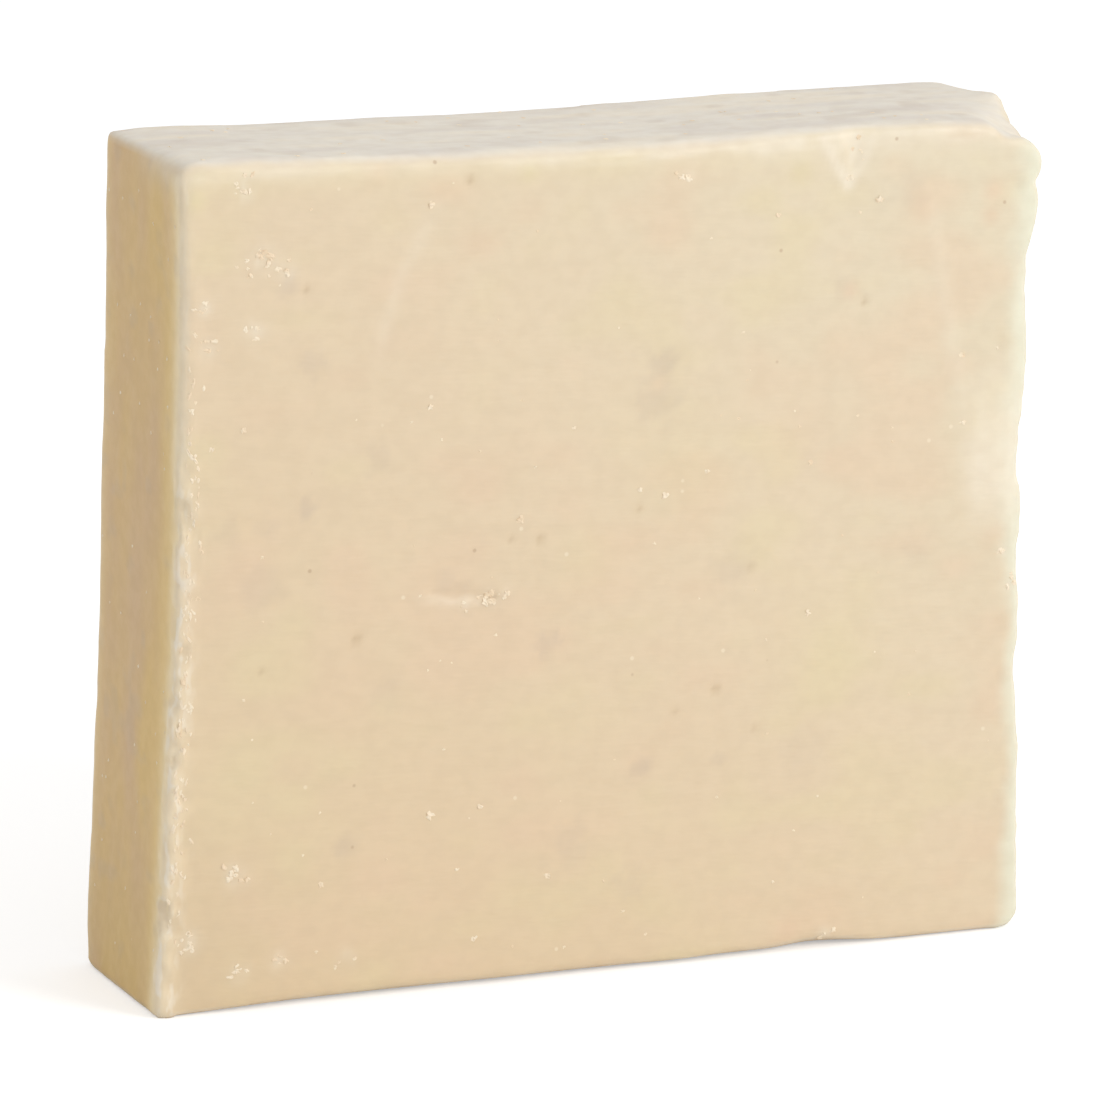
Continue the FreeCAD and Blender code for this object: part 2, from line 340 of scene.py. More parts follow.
# Loose crumbs on the front face: how many, their sizes, and the x and z that they lie between
LOOSE_CRUMBS = 70
LOOSE_SIZES = (0.22, 0.42)
LOOSE_X = (LEFT_X + 2.5, RIGHT_X - 4.0)
LOOSE_Z = (BASE_Z + 2.0, TOP_Z - 3.0)
# Flakes by the left front edge: how many, their sizes, and their lowest, commonest and highest place
EDGE_FLAKES = 150
FLAKE_SIZES = (0.25, 0.60)
FLAKE_HEIGHTS = (2.0, 24.0, 66.0)
# Their distance from the left side and its spread, and how far that side leans in, up to a height
FLAKE_INSET = 0.6
FLAKE_SPREAD = 0.8
LEAN = 1.75
LEAN_HEIGHT = 42.0
# Crumbs on the top, left and right sides: how many on each, their sizes, and where they lie
SIDE_CRUMBS = 45
TOP_SIZE = 0.40
LEFT_SIZE = 0.32
RIGHT_SIZE = 0.50
SIDE_Y = (FRONT_Y + 1.5, BACK_Y - 1.0)
TOP_X = (LEFT_X + 3.0, RIGHT_X - 8.0)
LEFT_Z = (3.0, TOP_Z - 4.0)
RIGHT_Z = (3.0, TOP_Z - 9.0)
# Crumbs on the back
BACK_CRUMBS = 60
BACK_SIZES = (0.25, 0.60)
BACK_X = (LEFT_X + 2.0, RIGHT_X - 3.0)
BACK_Z = (BASE_Z + 2.0, TOP_Z - 3.0)
# A crumb's place is looked for from this far outside the bar, and it sinks by a share of its height
OUTSIDE = 5.0
SUNK_SHARE = 0.15

# The soap's surface: noise in lumps a metre along x, y and z, and specks in cells a metre
GRAIN = (520.0, 700.0, 700.0)
STROKES = (1500.0, 1500.0, 480.0)
RELIEF = (420.0, 1900.0, 1900.0)
CRUMB_GRAIN = (700.0, 700.0, 700.0)
SPECK_CELLS = 430.0
# A speck's fading border in its cell, and the shares of cells that hold a pale or a dark one
SPECK_BORDER = (0.12, 0.05)
PALE_SPECK_SHARE = 0.05
DARK_SPECK_SHARE = 0.035
RELIEF_DEPTH = 0.045 * MM
CRUMB_RELIEF_DEPTH = 0.05 * MM
ROUGHNESS = (0.42, 0.58)
CRUMB_ROUGHNESS = (0.45, 0.60)
# The blue levels between which a colour starts to count as ash, and how much rougher ash is
ASHY_BLUE = (0.56, 0.68)
ASH_ROUGHER = 0.25
REFRACTION = 1.45
SPECULAR = 0.40
RELIEF_STRENGTH = 0.6
# Light inside the soap: its share, its reach and how far each colour of it goes
INNER_LIGHT = 0.12
INNER_REACH = 1.2 * MM
INNER_COLOURS = (1.0, 0.65, 0.35)

# Studio
FLOOR_SIZE = 8.0
FLOOR_COLOUR = (0.84, 0.84, 0.84, 1.0)
FLOOR_LIFT = 0.40
AMBIENT = 0.78
AMBIENT_RISE = 0.20
KEY_PLACE = (0.62, -0.85, 0.48)
KEY_SIZE = 0.45
KEY_POWER = 5.2

# The photograph's camera: its place, its own axes, its range, and its sensor and lens in millimetres
CAMERA_PLACE = (-247.26 * MM, -540.28 * MM, 177.89 * MM)
CAMERA_RIGHT = (0.91260, -0.40814, 0.02408)
CAMERA_UP = (0.07185, 0.21809, 0.97328)
CAMERA_BACK = (-0.40249, -0.88649, 0.22836)
CAMERA_RANGE = (0.01, 50.0)
SENSOR_WIDTH = 36.0
FOCAL_LENGTH = 212.7

# Smooth noise is read off a repeating block of seeded random numbers
LATTICE_SIDE = 48
LATTICE = np.random.default_rng(SEED).uniform(-1.0, 1.0, (LATTICE_SIDE,) * 3)


def cloud(points, size, shift):
    """Smooth noise from -1 to 1, one value a point, with lumps of a size."""
    places = points / np.asarray(size, float) + shift
    cell = np.floor(places).astype(int)
    part = places - cell
    part = part * part * (3.0 - 2.0 * part)
    total = np.zeros(len(points))
    for corner in itertools.product((0, 1), repeat=3):
        weight = np.abs(1.0 - np.array(corner) - part).prod(axis=1)
        total += weight * LATTICE[tuple(((cell + corner) % LATTICE_SIDE).T)]
    return total


def pattern(s, layers):
    """Layers of smooth noise on the skin, each of a strength, a lump size and a shift, added up."""
    return sum(strength * cloud(s.p, size, shift) for strength, size, shift in layers)


def ramp(low, high, values):
    """A smooth step from 0 at low to 1 at high."""
    t = np.clip((values - low) / (high - low), 0.0, 1.0)
    return t * t * (3.0 - 2.0 * t)


def fade(away, width):
    """1 at no distance, and softly less on both sides, to almost nothing at twice the width."""
    return np.exp(-(away / width) ** 2)


def spot(s, x, z, radius):
    """A soft round spot, seen from the front: 1 at its centre."""
    return np.exp(-((s.x - x) ** 2 + (s.z - z) ** 2) / radius ** 2)


def line_distance(s, places):
    """Each point's distance from a line of straight runs, and its share of the way along."""
    best = np.full(len(s.x), np.inf)
    along = np.zeros(len(s.x))
    runs = len(places) - 1
    for n, (a, b) in enumerate(zip(places, places[1:])):
        dx, dz = b[0] - a[0], b[1] - a[1]
        t = np.clip(((s.x - a[0]) * dx + (s.z - a[1]) * dz) / (dx * dx + dz * dz), 0.0, 1.0)
        away = np.hypot(s.x - a[0] - t * dx, s.z - a[1] - t * dz)
        near = away < best
        best = np.where(near, away, best)
        along = np.where(near, (n + t) / runs, along)
    return best, along


def link(piece):
    bpy.context.scene.collection.objects.link(piece)
    return piece


def fine_grid():
    """The bar's solid as one closed mesh of even small faces."""
    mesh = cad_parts["soap_bar"].data.copy()
    mesh.materials.clear()
    bm = bmesh.new()
    bm.from_mesh(mesh)
    bmesh.ops.remove_doubles(bm, verts=bm.verts, dist=WELD_DISTANCE)
    bm.to_mesh(mesh)
    bm.free()
    rough = link(bpy.data.objects.new("rough_bar", mesh))
    remesh = rough.modifiers.new("grid", "REMESH")
    remesh.mode = "VOXEL"
    remesh.voxel_size = GRID_STEP
    remesh.use_smooth_shade = True
    graph = bpy.context.evaluated_depsgraph_get()
    fine = bpy.data.meshes.new_from_object(rough.evaluated_get(graph))
    bpy.data.objects.remove(rough)
    fine.name = "soap_skin"
    return link(bpy.data.objects.new("soap_skin", fine))


def read(vertices, name):
    """A property of all vertices that has three values each, as rows."""
    values = np.empty(len(vertices) * 3)
    vertices.foreach_get(name, values)
    return values.reshape(-1, 3)


def move_points(mesh, co):
    mesh.vertices.foreach_set("co", co.ravel())
    mesh.update()


def smooth(mesh, rounds):
    """Evens out the grid's small steps: each round moves points in, then most of the way back."""
    edges = np.empty(len(mesh.edges) * 2, np.int64)
    mesh.edges.foreach_get("vertices", edges)
    a, b = edges.reshape(-1, 2).T
    co = read(mesh.vertices, "co")
    total = len(co)
    neighbours = np.bincount(a, minlength=total) + np.bincount(b, minlength=total)
    for pull in (PULL_IN, PUSH_BACK) * rounds:
        mean = np.zeros_like(co)
        for axis in range(3):
            mean[:, axis] = np.bincount(a, co[b, axis], total) + np.bincount(b, co[a, axis], total)
        co = co + pull * (mean / neighbours[:, None] - co)
    move_points(mesh, co)


class Skin:
    """The grid's points, with how far each belongs to the bar's faces and edges."""

    def __init__(self, mesh):
        self.co = read(mesh.vertices, "co")
        self.n = read(mesh.vertices, "normal")
        self.p = self.co / MM
        self.x, self.y, self.z = self.p.T
        self.front = ramp(*FLAT_FACE, -self.n[:, 1])
        self.back = ramp(*FLAT_FACE, self.n[:, 1])
        self.base = ramp(*FLAT_FACE, -self.n[:, 2])
        self.top = ramp(*ROUNDED_FACE, self.n[:, 2])
        self.left = ramp(*ROUNDED_FACE, -self.n[:, 0])
        self.right = ramp(*TORN_FACE, self.n[:, 0])
        self.edge = ramp(*EDGE_TURN, 1.0 - np.abs(self.n).max(axis=1))
        self.depth = self.y - FRONT_Y
        self.from_back = BACK_Y - self.y
        self.from_left = self.x - self.side_x(np.minimum, RIGHT_X)
        self.from_right = self.side_x(np.maximum, LEFT_X) - self.x
        self.from_top = TOP_Z - self.z

    def side_x(self, pick, start):
        """The x of the bar's left or right side at each point's height."""
        rows = np.clip(np.round(self.z), 0, None).astype(int)
        furthest = np.full(rows.max() + 1, start)
        pick.at(furthest, rows, self.x)
        return furthest[rows]


def face_unevenness(s):
    """What the mould, the wire and the tear have left on the faces."""
    out = pattern(s, ALL_OVER)
    out += pattern(s, WIRE_DRAG) * (s.front + s.back)
    out += pattern(s, TOP_STREAKS) * s.top
    out += pattern(s, LEFT_STREAKS) * s.left
    return out + pattern(s, TORN_SIDE) * s.right * (1.0 - s.front)


def edge_wear(s):
    """The crumbled left, torn right and worn upper front edges, and the worn lower back corner."""
    near = fade(np.hypot(s.from_left - CRUMBLED_INSET, s.depth), CRUMBLED_RADIUS)
    chips = ramp(0.05, 0.55, pattern(s, CHIPS)) + pattern(s, FINE_CHIPS)
    chipped = 0.25 + 0.75 * ramp(*CHIPS_COME, s.z) * (1.0 - ramp(*CHIPS_GO, s.z))
    out = near * (CRUMBLED_SWELL - CHIP_DEPTH * chips * chipped)
    near = fade(s.depth, TORN_EDGE_DEPTH) * (1.0 - ramp(*TORN_EDGE_END, s.from_right))
    out += near * pattern(s, TORN_EDGE)
    near = fade(s.depth, TOP_EDGE_DEPTH) * (1.0 - ramp(*TOP_EDGE_END, s.from_top))
    out += near * pattern(s, WORN_TOP_EDGE)
    away = np.sqrt(s.from_left ** 2 + s.from_back ** 2 + (WORN_CORNER_RISE * s.z) ** 2)
    return out - WORN_CORNER_DEPTH * fade(away, WORN_CORNER_RADIUS)


def face_marks(s):
    """The scratch, the ridge, the scar's raised lip and the pinholes of the front face."""
    away, along = line_distance(s, SCRATCH)
    out = -SCRATCH_DEPTH * fade(away, SCRATCH_HALF_WIDTH) * np.sin(math.pi * along)
    away, along = line_distance(s, RIDGE)
    out += RIDGE_HEIGHT * fade(away, RIDGE_HALF_WIDTH) * np.sin(math.pi * along)
    away, along = line_distance(s, SCAR)
    out += SCAR_LIP_HEIGHT * fade(away, SCAR_LIP_HALF_WIDTH) * ramp(*SCAR_LIP_START, along)
    for x, z, radius, strength in PINHOLES:
        out -= PINHOLE_DEPTH * strength * spot(s, x, z, radius)
    return out * s.front


def weather(mesh):
    """Moves the fine grid's points by what the mould, the wire and wear have done."""
    s = Skin(mesh)
    out = face_unevenness(s) + edge_wear(s) + face_marks(s)
    out = np.where(s.base > 0.5, BASE_SHARE * np.minimum(out, 0.0), out)
    out = np.clip(out, DEEPEST, HIGHEST)
    for x, y, z, radius, height in TORN_LUMPS:
        away = np.sqrt((s.x - x) ** 2 + (s.y - y) ** 2 + (s.z - z) ** 2)
        out += height * fade(away, radius)
    move_points(mesh, s.co + s.n * (out * MM)[:, None])


def blended(colours, other, share):
    """One colour or rows of colours, moved by a share each towards a colour or rows of colours."""
    share = np.clip(share, 0.0, 1.0)[:, None]
    return colours + share * (other - colours)


def body_colour(s):
    """The cream of the cut faces: lighter at the top right, deeper at the lower left, partly as painted
    light falloff.
    """
    # Painted light in part: the cream lightens towards the top right and deepens towards the lower left
    climb = 0.5 * s.x / RIGHT_X + 0.5 * (2.0 * s.z / TOP_Z - 1.0)
    colours = blended(CREAM, LIGHT, 0.75 * climb)
    colours = blended(colours, DEEP, -0.60 * climb)
    hue = pattern(s, HUE_PATCHES)
    colours = blended(colours, PINK, 0.40 * ramp(0.05, 0.6, hue))
    colours = blended(colours, YELLOW, 0.35 * ramp(0.05, 0.6, -hue))
    for x, z, radius, strength in STAINS:
        share = 0.7 * abs(strength) * s.front * spot(s, x, z, radius)
        colours = blended(colours, PINK if strength > 0 else YELLOW, share)
    drag = pattern(s, DRAG_LINES) * (s.front + s.back)
    return colours * (1.0 + drag)[:, None]


def rind_and_painted_light_colour(s):
    """The left side's amber, partly painted warm light: greyer in its middle, with painted glow and
    highlights at its margins and ash under the top.
    """
    grey = 0.55 + 0.7 * pattern(s, RIND_BANDS) - 1.1 * fade(s.depth, GREY_FREE_FRONT)
    # Painted glow and painted highlights along the left side's front and back margins
    glow = fade(s.depth, GLOW_FRONT) + 0.5 * fade(s.from_back, GLOW_BACK)
    bright = 0.7 * fade(s.depth, BRIGHT_FRONT) + 0.5 * fade(s.from_back, BRIGHT_BACK)
    ashen = fade(s.from_top - SIDE_ASH_MIDDLE, SIDE_ASH_HALF_WIDTH) * (1.0 - ramp(*SIDE_ASH_END, s.depth))
    colours = blended(RIND_AND_WARM_LIGHT, RIND_GREY, grey)
    colours = blended(colours, GLOW, glow)
    colours = blended(colours, BRIGHT, bright)
    return blended(colours, ASH, 0.7 * ashen)


def ash_colour(s):
    """The top's grey ash, with darker and paler streaks and with smudges."""
    streaks = pattern(s, ASH_STREAKS)
    colours = blended(ASH, ASH_DARK, ramp(-0.2, 0.9, streaks))
    colours = blended(colours, PALE, 0.5 * ramp(0.1, 0.9, -streaks))
    return blended(colours, MOTTLE, 0.25 * ramp(0.30, 0.8, pattern(s, ASH_SMUDGES)))


def with_sides(s, colours):
    """The colours with the amber left side and its painted warm light, the ashy top, the lighter, torn right
    side and the lower left corner's painted shade.
    """
    colours = blended(colours, rind_and_painted_light_colour(s), ramp(*RIND_FACE, -s.n[:, 0]))
    colours = blended(colours, ash_colour(s), s.top * ramp(*TOP_ASH_START, s.depth))
    colours = blended(colours, LIGHT, 0.6 * s.right)
    # Painted shade: the lower left corner a little darker
    corner = (1.0 - ramp(*CORNER_END, s.z)) * fade(s.from_left, CORNER_REACH)
    return colours * (1.0 - CORNER_SHADE * corner)[:, None]


def mottled(s):
    """How grey-pink each point is: by the list in front, and by chance elsewhere but on the top."""
    share = 0.45 * ramp(0.30, 0.75, pattern(s, SIDE_MOTTLES)) * (1.0 - s.front) * (1.0 - s.top)
    outlines = pattern(s, MOTTLE_OUTLINES)
    for x, z, radius, strength in MOTTLES:
        away = np.hypot(s.x - x, s.z - z) / radius + outlines
        share = np.maximum(share, strength * s.front * (1.0 - ramp(0.2, 1.3, away)))
    return share


def left_edge(s, lower):
    """The painted highlight on the left front edge: narrow above, and wide with flecks in its lower part."""
    half_width = LEFT_EDGE_HALF_WIDTH + lower * (LEFT_EDGE_WIDENING + pattern(s, LEFT_EDGE_WAVES))
    away = np.hypot(s.from_left - LEFT_EDGE_INSET, (0.8 + 0.9 * lower) * s.depth)
    return fade(away, half_width) * (0.80 + lower * (0.25 * pattern(s, FLECKS) - 0.10))


def top_edge(s):
    """How strong the painted highlight on the upper front edge is, with its fine lines and brighter runs."""
    bright = np.zeros(len(s.x))
    for low, high, strength in TOP_RUNS:
        run = ramp(low - RUN_END, low + RUN_END, s.x) * (1.0 - ramp(high - RUN_END, high + RUN_END, s.x))
        bright = np.maximum(bright, strength * run)
    near = fade(s.from_top - PALE_TOP_MIDDLE, PALE_TOP_HALF_WIDTH) * fade(s.depth, PALE_TOP_DEPTH)
    return near * (0.55 + 0.30 * bright + pattern(s, TOP_EDGE_LINES))


def bent_strip(s):
    """How far each point is in the strip of the right edge that is bent back, where a highlight is painted.
    """
    ragged_x = s.x + pattern(s, STRIP_WAVES)
    return ramp(*STRIP_X, ragged_x) * ramp(*STRIP_FOOT, s.z) * (1.0 - ramp(*STRIP_HEAD, s.z))


def wear_and_highlights(s):
    """How pale each point is: painted highlights at rounds, edges and the bent strip, and pale along lines
    and where crumbs stick.
    """
    # Painted highlight on the rounded edges
    share = s.edge * (0.40 + pattern(s, EDGE_HIGHLIGHT_PATCHES))
    share = np.maximum(share, top_edge(s))
    share = np.maximum(share, 0.7 * bent_strip(s))
    for places, strength, half_width in PALE_LINES:
        away, along = line_distance(s, places)
        ends = ramp(0.0, 0.3, along) * (1.0 - 0.8 * ramp(0.8, 1.0, along))
        share = np.maximum(share, strength * s.front * ends * fade(away, half_width))
    flecks = pattern(s, FLECKS)
    for x, z, spread, *_ in CRUMB_PLACES:
        share = np.maximum(share, 0.35 * s.front * spot(s, x, z, spread) * (1.0 + flecks))
    return share


def rim(s):
    """How far each point is in the painted highlight on the rim along the right side of the front face."""
    reach = RIM_REACH + RIM_WIDENING * ramp(*RIM_WIDENS, s.z) + pattern(s, RIM_WAVES)
    return (1.0 - ramp(0.3 * reach, reach, s.from_right)) * (1.0 - ramp(*RIM_END, s.depth))


def yellow_band(s):
    """How far each point is in the yellowish band under the upper front edge."""
    band = fade(s.from_top - YELLOW_BAND_MIDDLE, YELLOW_BAND_HALF_WIDTH) * s.front
    return band * (1.0 - ramp(*YELLOW_BAND_END, s.x))


def with_marks(s, colours, bright_edge):
    """The colours with mottles, the rim, pale and painted highlit places, the chip's edges and pinholes with
    painted shade.
    """
    colours = blended(colours, MOTTLE, 0.5 * mottled(s))
    # Painted highlight on the right rim
    colours = blended(colours, RIM_HIGHLIGHT, 0.8 * rim(s))
    colours = blended(colours, YELLOW, 0.30 * yellow_band(s))
    # Painted highlights together with the pale lines and crumb places
    colours = blended(colours, PALE, 0.85 * wear_and_highlights(s))
    # Painted highlight along the left front edge
    colours = blended(colours, BRIGHT, 0.85 * bright_edge)
    for places, strength in CHIP_EDGES:
        away = line_distance(s, places)[0]
        colours = blended(colours, PALE, strength * s.front * fade(away, CHIP_EDGE_HALF_WIDTH))
    # Pinholes painted darker, as the shade inside them
    for x, z, radius, strength in PINHOLES:
        colours = blended(colours, PIT_SHADE, 0.5 * strength * s.front * spot(s, x, z, radius))
    return colours


def paint(mesh):
    """Writes the soap's colour at each point of the grid, with the painted edge highlight's flakiness as the
    alpha.
    """
    s = Skin(mesh)
    lower = 1.0 - ramp(*LOWER_PART_END, s.z)
    bright_edge = left_edge(s, lower)
    colours = with_marks(s, with_sides(s, body_colour(s)), bright_edge)
    # The flaky share of the painted highlight on the left front edge
    flaky = bright_edge * (0.25 + 0.75 * lower)
    rgba = np.clip(np.column_stack((colours, flaky)), 0.0, 1.0)
    layer = mesh.color_attributes.new("soap_tone", "FLOAT_COLOR", "POINT")
    layer.data.foreach_set("color", rgba.ravel())


class Crumbs:
    """Small uneven lumps of soap that stick to the bar's skin, gathered in one mesh."""

    def __init__(self, skin):
        self.skin = skin
        self.dice = np.random.default_rng(SEED)
        self.bm = bmesh.new()

    def lump(self, centre, out, size, shape):
        """One lump, a little sunk into the surface. Its shape is across, up and out."""
        made = bmesh.ops.create_icosphere(self.bm, subdivisions=2, radius=0.5)
        spin = Matrix.Rotation(self.dice.normal(0.0, 0.3), 3, "Z")
        turn = out.to_track_quat("Z", "Y").to_matrix() @ spin
        shift = Vector(self.dice.uniform(0.0, 50.0, 3))
        for v in made["verts"]:
            swell = size * (1.0 + 1.1 * noise.noise(v.co * 3.4 + shift))
            local = Vector((v.co.x * shape[0], v.co.y * shape[1], v.co.z * shape[2])) * swell
            v.co = centre + turn @ local - out * (SUNK_SHARE * size * shape[2])

    def stick(self, start, way, size, shape):
        """Puts a lump where a ray from a place outside the bar meets it."""
        hit, place, out = self.skin.ray_cast(Vector(start) * MM, Vector(way))[:3]
        if hit:
            self.lump(place, out, size * MM, shape)

    def stick_front(self, x, z, size, shape):
        """Puts a lump on the front face."""
        self.stick((x, FRONT_Y - OUTSIDE, z), (0.0, 1.0, 0.0), size, shape)

    def in_places(self):
        """The clusters of crumbs on the front face."""
        for x, z, spread, count, largest in CRUMB_PLACES:
            for _ in range(count):
                dx, dz = self.dice.normal(0.0, 0.6 * spread, 2)
                size = largest * self.dice.uniform(0.35, 1.0)
                shape = (self.dice.uniform(0.6, 1.2), self.dice.uniform(0.5, 1.0), 0.30)
                self.stick_front(x + dx, z + dz, size, shape)

    def specks(self):
        """The single specks on the front face."""
        for x, z, size in SPECKS:
            self.stick_front(x, z, size, (1.0, 0.9, 0.32))

    def loose(self):
        """Small crumbs all over the front face."""
        for _ in range(LOOSE_CRUMBS):
            x = self.dice.uniform(*LOOSE_X)
            z = self.dice.uniform(*LOOSE_Z)
            self.stick_front(x, z, self.dice.uniform(*LOOSE_SIZES), (1.0, 0.8, 0.32))

    def edge_flakes(self):
        """Flakes along the crumbled left front edge."""
        for _ in range(EDGE_FLAKES):
            z = self.dice.triangular(*FLAKE_HEIGHTS)
            side_x = LEFT_X + LEAN * min(1.0, z / LEAN_HEIGHT)
            x = side_x + FLAKE_INSET + abs(self.dice.normal(0.0, FLAKE_SPREAD))
            self.stick_front(x, z, self.dice.uniform(*FLAKE_SIZES), (0.6, self.dice.uniform(0.8, 1.6), 0.22))

    def on_sides(self):
        """Crumbs on the top and on the left and right sides."""
        for _ in range(SIDE_CRUMBS):
            y = self.dice.uniform(*SIDE_Y)
            x = self.dice.uniform(*TOP_X)
            self.stick((x, y, TOP_Z + OUTSIDE), (0.0, 0.0, -1.0), TOP_SIZE, (1.2, 0.8, 0.35))
            z = self.dice.uniform(*LEFT_Z)
            self.stick((LEFT_X - OUTSIDE, y, z), (1.0, 0.0, 0.0), LEFT_SIZE, (0.9, 1.0, 0.35))
            z = self.dice.uniform(*RIGHT_Z)
            self.stick((RIGHT_X + OUTSIDE, y, z), (-1.0, 0.0, 0.0), RIGHT_SIZE, (0.9, 1.0, 0.5))

    def on_back(self):
        """Crumbs all over the back."""
        for _ in range(BACK_CRUMBS):
            x = self.dice.uniform(*BACK_X)
            z = self.dice.uniform(*BACK_Z)
            size = self.dice.uniform(*BACK_SIZES)
            self.stick((x, BACK_Y + OUTSIDE, z), (0.0, -1.0, 0.0), size, (1.0, 0.8, 0.40))

    def piece(self):
        """All the lumps as one object."""
        mesh = bpy.data.meshes.new("soap_crumbs")
        self.bm.to_mesh(mesh)
        self.bm.free()
        return link(bpy.data.objects.new("soap_crumbs", mesh))


def stuck_crumbs(skin):
    """The crumbs and flakes that stick to the bar, as one piece."""
    crumbs = Crumbs(skin)
    crumbs.in_places()
    crumbs.specks()
    crumbs.loose()
    crumbs.edge_flakes()
    crumbs.on_sides()
    crumbs.on_back()
    return crumbs.piece()


class Nodes:
    """Short calls to fill a node tree."""

    def __init__(self, tree):
        self.tree = tree
        tree.nodes.clear()

    def add(self, kind, **settings):
        node = self.tree.nodes.new(kind)
        for key, value in settings.items():
            setattr(node, key, value)
        return node

    def set(self, socket, value):
        """Links an output to a socket, or sets the socket to a plain value."""
        if isinstance(value, bpy.types.NodeSocket):
            self.tree.links.new(value, socket)
        else:
            socket.default_value = value

    def noise(self, vector, scale, detail, shift=0.0):
        """Soft noise. The scale is in lumps a metre along each axis."""
        place = self.add("ShaderNodeMapping")
        place.inputs["Location"].default_value = (shift, shift * 0.7, shift * 0.3)
        place.inputs["Scale"].default_value = scale
        self.set(place.inputs["Vector"], vector)
        node = self.add("ShaderNodeTexNoise")
        node.inputs["Scale"].default_value = 1.0
        node.inputs["Detail"].default_value = detail
        self.set(node.inputs["Vector"], place.outputs["Vector"])
        return node.outputs["Fac"]

    def level(self, value, low, high, to_low=0.0, to_high=1.0):
        """A smooth step from to_low, where the value is low, to to_high, where it is high."""
        node = self.add("ShaderNodeMapRange", interpolation_type="SMOOTHSTEP")
        for name, setting in zip(
            ("Value", "From Min", "From Max", "To Min", "To Max"), (value, low, high, to_low, to_high)
        ):
            self.set(node.inputs[name], setting)
        return node.outputs["Result"]

    def math(self, operation, a, b):
        node = self.add("ShaderNodeMath", operation=operation)
        self.set(node.inputs[0], a)
        self.set(node.inputs[1], b)
        return node.outputs[0]

    def mix(self, share, a, b):
        node = self.add("ShaderNodeMix", data_type="RGBA")
        sockets = {socket.identifier: socket for socket in node.inputs}
        self.set(sockets["Factor_Float"], share)
        self.set(sockets["A_Color"], a)
        self.set(sockets["B_Color"], b)
        return next(socket for socket in node.outputs if socket.identifier == "Result_Color")

    def finish(self, shader, kind="ShaderNodeOutputMaterial"):
        end = self.add(kind)
        self.set(end.inputs["Surface"], shader)


def new_material(name):
    material = bpy.data.materials.new(name)
    material.use_nodes = True
    return material, Nodes(material.node_tree)


def waxy(m, colour, roughness, height, depth, inner_light):
    """A soap surface: soft light inside it, a dull shine and fine relief."""
    shader = m.add("ShaderNodeBsdfPrincipled", subsurface_method="BURLEY")
    m.set(shader.inputs["Base Color"], colour)
    m.set(shader.inputs["Roughness"], roughness)
    shader.inputs["IOR"].default_value = REFRACTION
    shader.inputs["Specular IOR Level"].default_value = SPECULAR
    shader.inputs["Subsurface Weight"].default_value = inner_light
    shader.inputs["Subsurface Radius"].default_value = INNER_COLOURS
    shader.inputs["Subsurface Scale"].default_value = INNER_REACH
    bump = m.add("ShaderNodeBump")
    bump.inputs["Strength"].default_value = RELIEF_STRENGTH
    bump.inputs["Distance"].default_value = depth
    m.set(bump.inputs["Height"], height)
    m.set(shader.inputs["Normal"], bump.outputs["Normal"])
    m.finish(shader.outputs["BSDF"])


def with_specks(m, place, colour):
    """The colour with pale and dark specks, each in the middle of a cell picked by chance."""
    cells = m.add("ShaderNodeTexVoronoi")
    cells.inputs["Scale"].default_value = SPECK_CELLS
    m.set(cells.inputs["Vector"], place)
    dot = m.level(cells.outputs["Distance"], *SPECK_BORDER)
    split = m.add("ShaderNodeSeparateColor")
    m.set(split.inputs["Color"], cells.outputs["Color"])
    chance = split.outputs["Red"]
    pale = m.math("MULTIPLY", dot, m.math("GREATER_THAN", chance, 1.0 - PALE_SPECK_SHARE))
    dark = m.math("MULTIPLY", dot, m.math("LESS_THAN", chance, DARK_SPECK_SHARE))
    colour = m.mix(m.math("MULTIPLY", pale, 0.6), colour, SPECK_PALE)
    return m.mix(m.math("MULTIPLY", dark, 0.5), colour, SPECK_DARK)


def soap_material():
    """Cream soap in the grid's colours, with fine grain and specks. Its ashy parts are duller."""
    material, m = new_material("soap")
    place = m.add("ShaderNodeTexCoord").outputs["Object"]
    tone = m.add("ShaderNodeVertexColor", layer_name="soap_tone")
    flaky = tone.outputs["Alpha"]
    grain = m.noise(place, GRAIN, 2.0)
    strokes = m.noise(place, STROKES, 1.0, 9.0)
    colour = m.mix(m.level(grain, 0.30, 0.72, 0.0, 0.10), tone.outputs["Color"], GRAIN_SHADE)
    # Pale flakes in the painted highlight of the left front edge, where the tone's alpha says it is flaky
    flakes = m.level(m.math("ADD", strokes, m.math("MULTIPLY", flaky, 0.15)), 0.55, 0.72)
    colour = m.mix(m.math("MULTIPLY", flakes, flaky), colour, FLAKE)
    colour = with_specks(m, place, colour)
    parts = m.add("ShaderNodeSeparateColor")
    m.set(parts.inputs["Color"], tone.outputs["Color"])
    matt = m.level(parts.outputs["Blue"], *ASHY_BLUE, 0.0, ASH_ROUGHER)
    roughness = m.math("ADD", m.level(grain, 0.30, 0.70, *ROUGHNESS), matt)
    relief = m.noise(place, RELIEF, 1.0, 3.0)
    waxy(m, colour, roughness, relief, RELIEF_DEPTH, INNER_LIGHT)
    return material


def crumb_material():
    """Dried crumbs of the same soap, paler than the bar."""
    material, m = new_material("soap_crumb")
    place = m.add("ShaderNodeTexCoord").outputs["Object"]
    tone = m.noise(place, CRUMB_GRAIN, 2.0)
    colour = m.mix(m.level(tone, 0.35, 0.65), CRUMB_PINK, CRUMB_PALE)
    waxy(m, colour, m.level(tone, 0.3, 0.7, *CRUMB_ROUGHNESS), tone, CRUMB_RELIEF_DEPTH, 0.0)
    return material


def seen_directly(m):
    """1 for rays from the camera, and 0 for the light that falls on things."""
    return m.add("ShaderNodeLightPath").outputs["Is Camera Ray"]


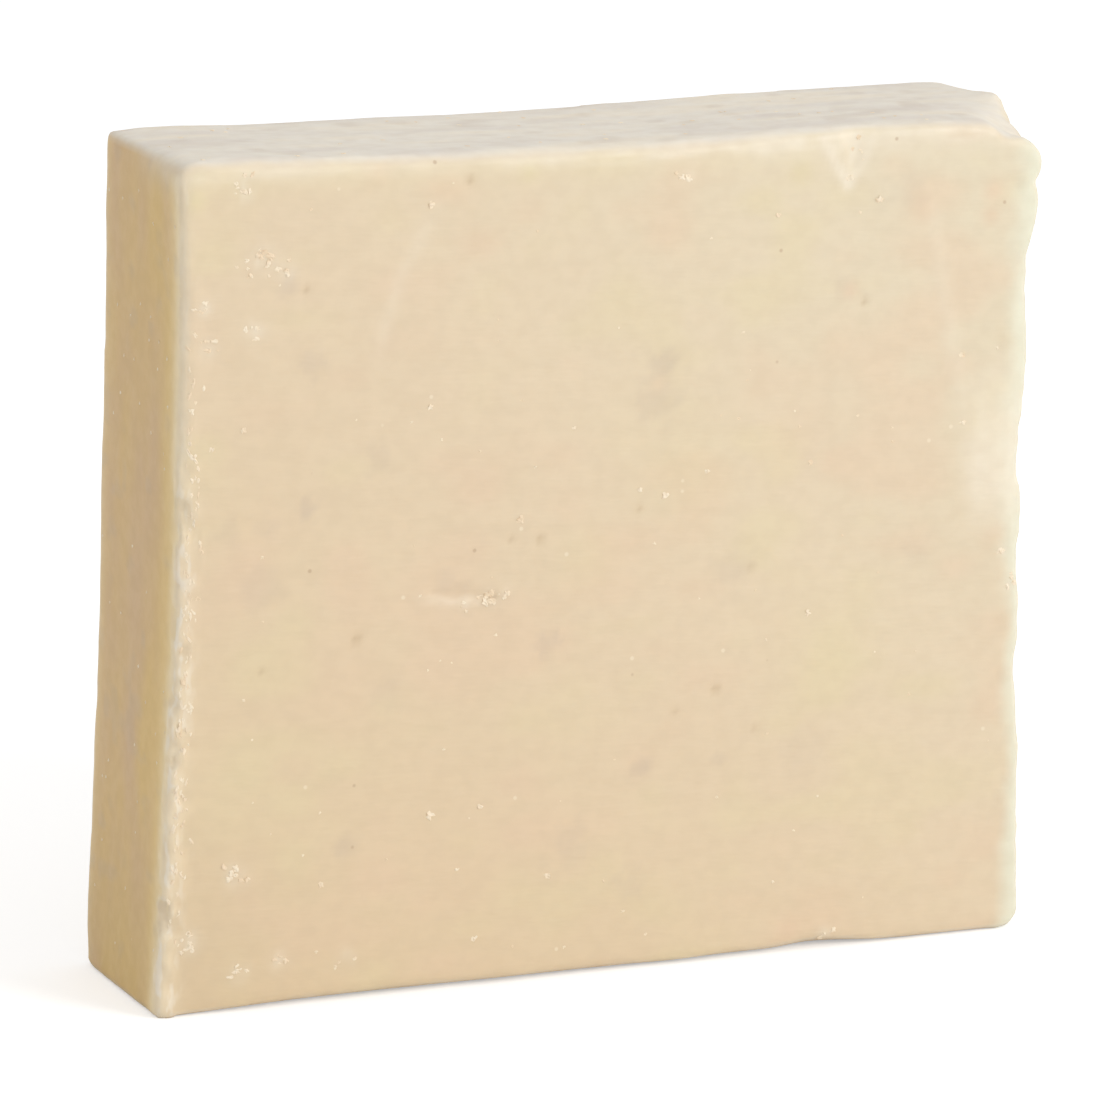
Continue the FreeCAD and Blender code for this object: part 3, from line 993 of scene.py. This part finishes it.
def floor():
    """A plain pale floor that keeps the bar's shadow."""
    bm = bmesh.new()
    bmesh.ops.create_grid(bm, x_segments=1, y_segments=1, size=FLOOR_SIZE / 2)
    mesh = bpy.data.meshes.new("floor")
    bm.to_mesh(mesh)
    bm.free()
    material, m = new_material("floor")
    matt = m.add("ShaderNodeBsdfDiffuse")
    matt.inputs["Color"].default_value = FLOOR_COLOUR
    lift = m.add("ShaderNodeEmission")
    m.set(lift.inputs["Strength"], m.math("MULTIPLY", seen_directly(m), FLOOR_LIFT))
    both = m.add("ShaderNodeAddShader")
    m.set(both.inputs[0], matt.outputs["BSDF"])
    m.set(both.inputs[1], lift.outputs["Emission"])
    m.finish(both.outputs["Shader"])
    mesh.materials.append(material)
    link(bpy.data.objects.new("floor", mesh))


def surroundings():
    """Soft light from all round, a little stronger from above, seen as plain white."""
    world = bpy.data.worlds.new("studio")
    world.use_nodes = True
    bpy.context.scene.world = world
    m = Nodes(world.node_tree)
    axes = m.add("ShaderNodeSeparateXYZ")
    m.set(axes.inputs["Vector"], m.add("ShaderNodeTexCoord").outputs["Generated"])
    rise = m.level(axes.outputs["Z"], 0.0, 1.0, AMBIENT, AMBIENT + AMBIENT_RISE)
    back = m.add("ShaderNodeBackground")
    m.set(back.inputs["Strength"], m.math("MAXIMUM", rise, seen_directly(m)))
    m.finish(back.outputs["Background"], "ShaderNodeOutputWorld")


def key_lamp():
    """One soft lamp, up and to the right of the camera."""
    data = bpy.data.lights.new("key", "AREA")
    data.shape = "DISK"
    data.size = KEY_SIZE
    data.energy = KEY_POWER
    lamp = link(bpy.data.objects.new("key", data))
    lamp.location = KEY_PLACE
    aim = Vector((0.0, 0.0, BAR_HIGH.z / 2)) - Vector(KEY_PLACE)
    lamp.rotation_euler = aim.to_track_quat("-Z", "Y").to_euler()


def camera():
    data = bpy.data.cameras.new("camera")
    data.sensor_width = SENSOR_WIDTH
    data.lens = FOCAL_LENGTH
    data.clip_start, data.clip_end = CAMERA_RANGE
    piece = link(bpy.data.objects.new("camera", data))
    turn = Matrix((CAMERA_RIGHT, CAMERA_UP, CAMERA_BACK)).transposed()
    piece.matrix_world = Matrix.Translation(CAMERA_PLACE) @ turn.to_4x4()
    bpy.context.scene.camera = piece


skin = fine_grid()
smooth(skin.data, SMOOTHING_ROUNDS)
weather(skin.data)
paint(skin.data)
skin.data.materials.append(soap_material())
crumbs = stuck_crumbs(skin)
crumbs.data.materials.append(crumb_material())
for piece in (skin, crumbs):
    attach(piece, "root")
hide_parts("soap_bar")

floor()
surroundings()
key_lamp()
camera()
bpy.context.scene.view_settings.view_transform = "Standard"
